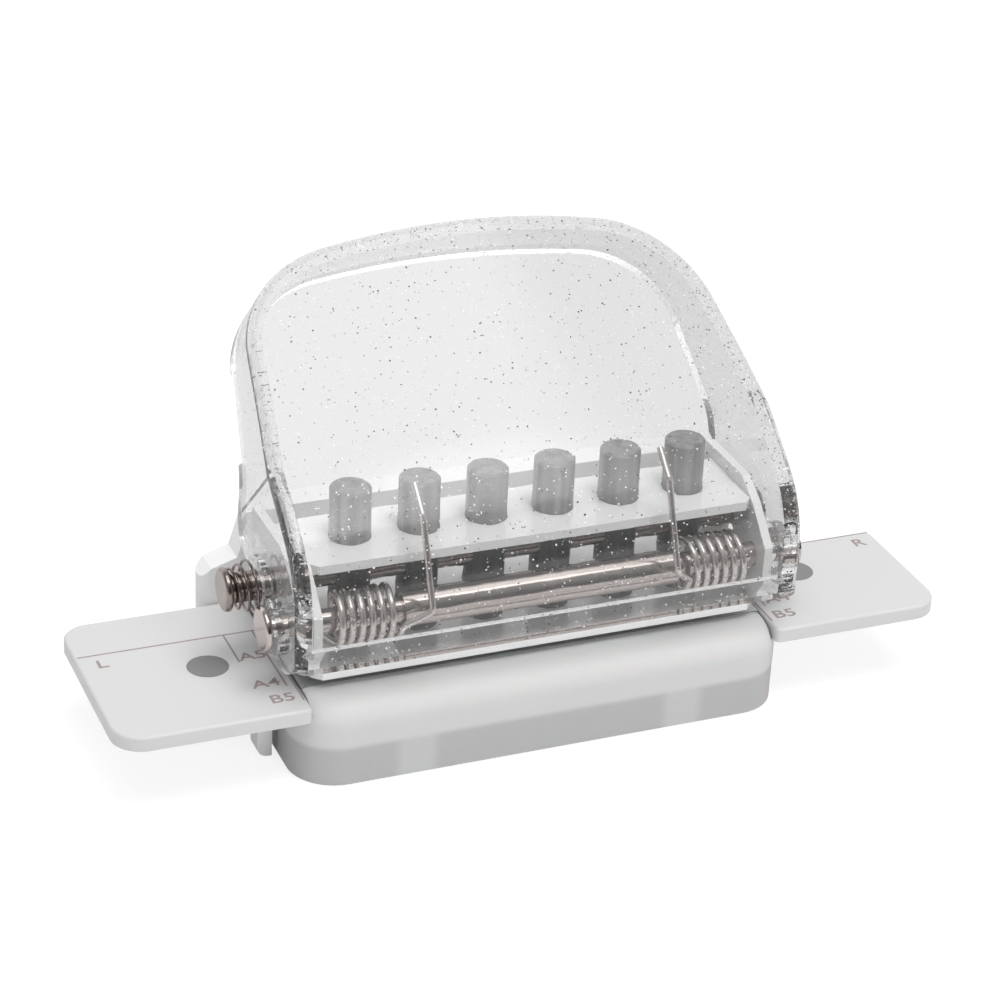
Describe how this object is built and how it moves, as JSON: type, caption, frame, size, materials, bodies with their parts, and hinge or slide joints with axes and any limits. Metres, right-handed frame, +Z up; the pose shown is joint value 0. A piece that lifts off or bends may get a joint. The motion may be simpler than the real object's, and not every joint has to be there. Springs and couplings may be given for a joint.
{
  "type": "six-hole loose-leaf punch",
  "caption": "Compact desk punch for loose-leaf sheets: a clear hood lever drives a row of steel pins through a die, with sheet guide plates and a frosted chip tray.",
  "frame": {"origin": "on the table plane, under the middle of the pin row", "axes": "+X along the pin row to the right as seen from the front, +Y away from the front towards the rear wall, +Z up"},
  "size_m": [0.1174, 0.047, 0.0601],
  "materials": {
    "clear_hood": "clear with fine silver flecks",
    "frosted_tray": "frosted, slightly translucent",
    "white_plate": "satin",
    "white_base": "satin",
    "white_frame": "gloss white paint",
    "pin_steel": "ground steel",
    "die_steel": "ground steel",
    "nickel": "polished nickel",
    "spring_nickel": "nickel-plated wire",
    "locator_grey": "matt"
  },
  "bodies": {
    "base": {"base_body": "white_base", "guide_plate_left": "white_plate", "guide_plate_right": "white_plate", "locator_left": "locator_grey", "locator_right": "locator_grey", "die_plate": "die_steel", "paper_stop": "die_steel", "punch_frame": "white_frame", "pin_guide": "white_frame", "frame_screws": "nickel", "hinge_shaft": "nickel", "spacer_sleeve": "nickel", "shaft_clip": "nickel", "torsion_spring_left": "spring_nickel", "torsion_spring_right": "spring_nickel"},
    "handle": {"handle_lever": "clear_hood"},
    "pin_carriage": {"punch_pin_1": "pin_steel", "punch_pin_2": "pin_steel", "punch_pin_3": "pin_steel", "punch_pin_4": "pin_steel", "punch_pin_5": "pin_steel", "punch_pin_6": "pin_steel"},
    "lock_rod": {"lock_rod": "nickel", "rod_clip": "nickel", "button_spring": "spring_nickel"},
    "chip_tray": {"chip_tray": "frosted_tray"}
  },
  "joints": [
    {"name": "handle_press", "type": "hinge", "parent": "base", "child": "handle", "pos_m": [0, -0.0075, 0.0206], "axis": [-1, 0, 0], "range_deg": [0, 27], "stiffness_Nm_per_rad": 0.12, "springref_deg": -20.05, "deforming": ["torsion_spring_left", "torsion_spring_right"]},
    {"name": "punch_stroke", "type": "slide", "parent": "base", "child": "pin_carriage", "axis": [0, 0, -1], "range_m": [0, 0.00363]},
    {"name": "lock_press", "type": "slide", "parent": "pin_carriage", "child": "lock_rod", "axis": [1, 0, 0], "range_m": [0, 0.002], "stiffness_N_per_m": 150, "springref_m": -0.003, "deforming": ["button_spring"]},
    {"name": "tray_release", "type": "slide", "parent": "base", "child": "chip_tray", "axis": [0, 0, -1], "range_m": [0, 0.012]}
  ],
  "couplings": [
    {"joint": "handle_press", "follows": "punch_stroke", "rad_per_m": 129.87}
  ]
}
